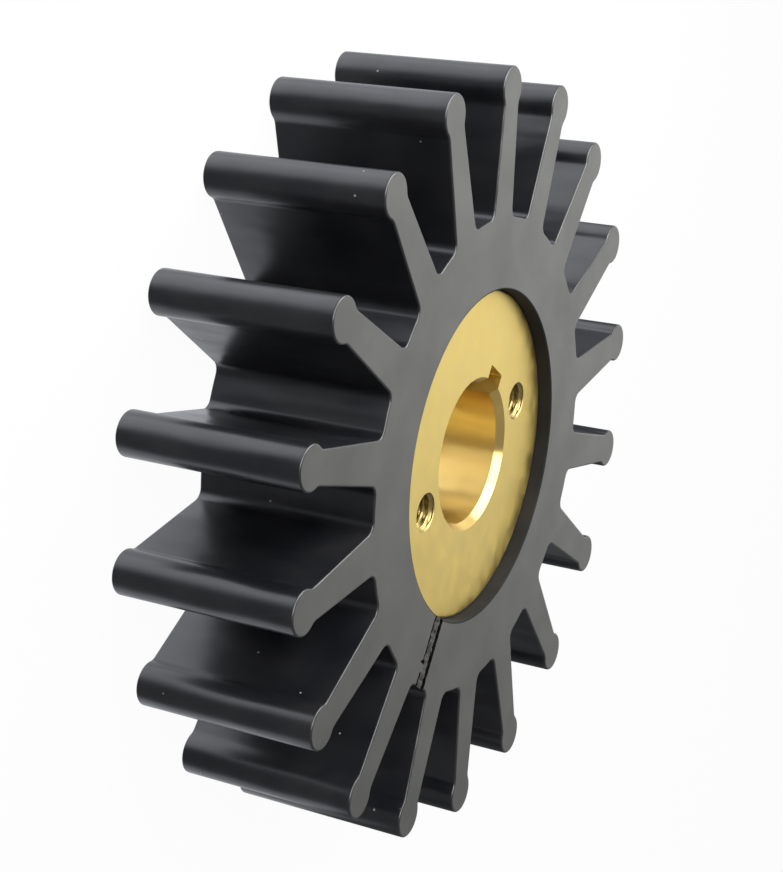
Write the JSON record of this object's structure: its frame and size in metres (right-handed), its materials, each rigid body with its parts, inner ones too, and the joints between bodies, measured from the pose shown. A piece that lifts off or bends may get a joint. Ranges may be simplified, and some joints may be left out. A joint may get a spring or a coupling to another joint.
{
  "type": "rubber pump impeller",
  "caption": "Flexible marine pump impeller: straight beaded rubber blades moulded round a keyed brass hub with tapped puller holes.",
  "frame": {"origin": "on the shaft's axis, half way between the rotor's two flat end faces", "axes": "+Z along the shaft's axis, out of the end face that has the gate mark; +X along one blade; +Y through the keyway"},
  "size_m": [0.118, 0.1162, 0.0282],
  "materials": {
    "black_rubber": "moulded nitrile rubber, dark grey to black, with a dull satin skin",
    "brass": "machined brass, satin faces with fine turning marks and a brighter bore"
  },
  "bodies": {
    "root": {"rubber_rotor": "black_rubber", "brass_hub": "brass"}
  },
  "joints": []
}
